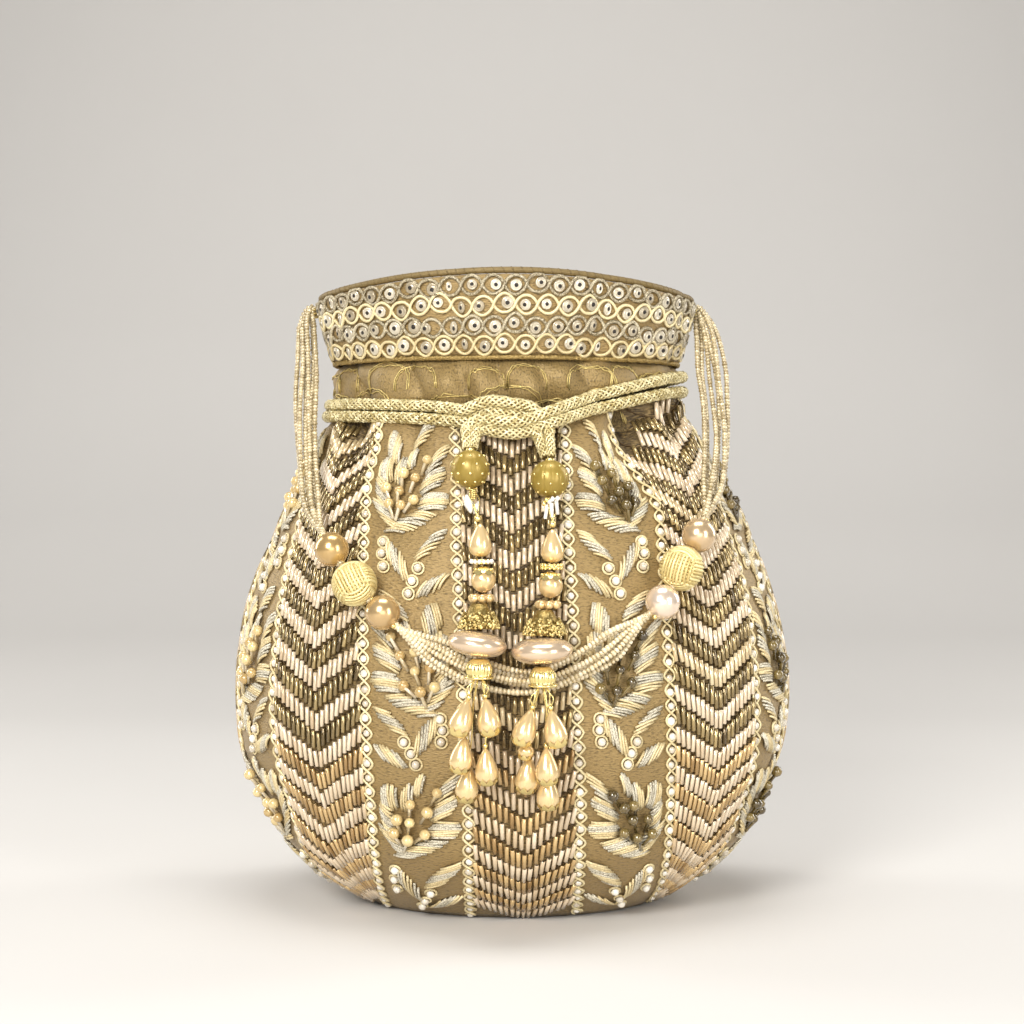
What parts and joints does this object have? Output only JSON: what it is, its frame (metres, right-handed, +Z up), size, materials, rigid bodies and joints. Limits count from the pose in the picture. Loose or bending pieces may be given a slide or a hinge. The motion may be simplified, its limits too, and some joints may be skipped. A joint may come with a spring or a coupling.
{
  "type": "potli bag",
  "caption": "Oval embroidered drawstring pouch with a stiff stone-set collar, a beaded rope handle and bead tassels on its knotted cord.",
  "frame": {"origin": "middle of the flat base, on its underside", "axes": "+Z up through the mouth, -Y towards the front where the cord is knotted, +X to the right seen from the front"},
  "size_m": [0.1956, 0.1782, 0.2218],
  "materials": {
    "embroidered_fabric": "matte woven",
    "tissue_fabric": "soft sheen",
    "lining_satin": "satin",
    "base_card": "plain",
    "knit_cord": "metallic knit",
    "gold_metal": "polished",
    "braid": "metallic braid",
    "champagne_pearl": "pearlescent",
    "cream_pearl": "pearlescent",
    "matte_bead": "frosted",
    "seed_bead": "lustre",
    "crystal": "faceted, foiled",
    "woven_thread": "metallic thread"
  },
  "bodies": {
    "bag": {"base_board": "base_card", "base_cover": "embroidered_fabric", "body_back": "embroidered_fabric", "body_front": "embroidered_fabric", "collar_band": "embroidered_fabric", "collar_braid": "braid", "drawcord_knot": "knit_cord", "drawcord_lower": "knit_cord", "drawcord_upper": "knit_cord", "handle_stitch_left": "woven_thread", "handle_stitch_right": "woven_thread", "lining": "lining_satin", "neck_frill": "tissue_fabric", "rim_piping": "tissue_fabric"},
    "handle": {"handle_rope_front": "seed_bead", "handle_rope_left": "seed_bead", "handle_rope_right": "seed_bead", "left_lower_pearl": "champagne_pearl", "left_upper_pearl": "champagne_pearl", "left_woven_ball": "woven_thread", "right_lower_pearl": "champagne_pearl", "right_upper_pearl": "champagne_pearl", "right_woven_ball": "woven_thread"},
    "left_tassel": {"left_bell": "gold_metal", "left_cord_tail": "knit_cord", "left_crystal_link": "crystal", "left_drop_1": "cream_pearl", "left_drop_2": "cream_pearl", "left_drop_3": "cream_pearl", "left_drop_4": "cream_pearl", "left_drop_5": "cream_pearl", "left_fluted_cap": "gold_metal", "left_matte_bead": "matte_bead", "left_pearl_ring": "champagne_pearl", "left_petal_cap": "gold_metal", "left_round_pearl": "champagne_pearl", "left_saucer_pearl": "champagne_pearl", "left_spacer_ring": "gold_metal", "left_teardrop": "cream_pearl", "left_tip_ball": "gold_metal"},
    "right_tassel": {"right_bell": "gold_metal", "right_cord_tail": "knit_cord", "right_crystal_link": "crystal", "right_drop_1": "cream_pearl", "right_drop_2": "cream_pearl", "right_drop_3": "cream_pearl", "right_drop_4": "cream_pearl", "right_drop_5": "cream_pearl", "right_drop_6": "cream_pearl", "right_fluted_cap": "gold_metal", "right_matte_bead": "matte_bead", "right_pearl_ring": "champagne_pearl", "right_petal_cap": "gold_metal", "right_round_pearl": "champagne_pearl", "right_saucer_pearl": "champagne_pearl", "right_spacer_ring": "gold_metal", "right_teardrop": "cream_pearl", "right_tip_ball": "gold_metal"}
  },
  "joints": [
    {"name": "handle_lift", "type": "hinge", "parent": "bag", "child": "handle", "pos_m": [0, 0, 0.2095], "axis": [-1, 0, 0], "range_deg": [0, 275], "deforming": ["handle_rope_front"]},
    {"name": "left_tassel_swing", "type": "hinge", "parent": "bag", "child": "left_tassel", "pos_m": [-0.0135, -0.061, 0.1653], "axis": [-1, 0, 0], "range_deg": [0, 100]},
    {"name": "right_tassel_swing", "type": "hinge", "parent": "bag", "child": "right_tassel", "pos_m": [0.0102, -0.0615, 0.1646], "axis": [-1, 0, 0], "range_deg": [0, 100]}
  ]
}
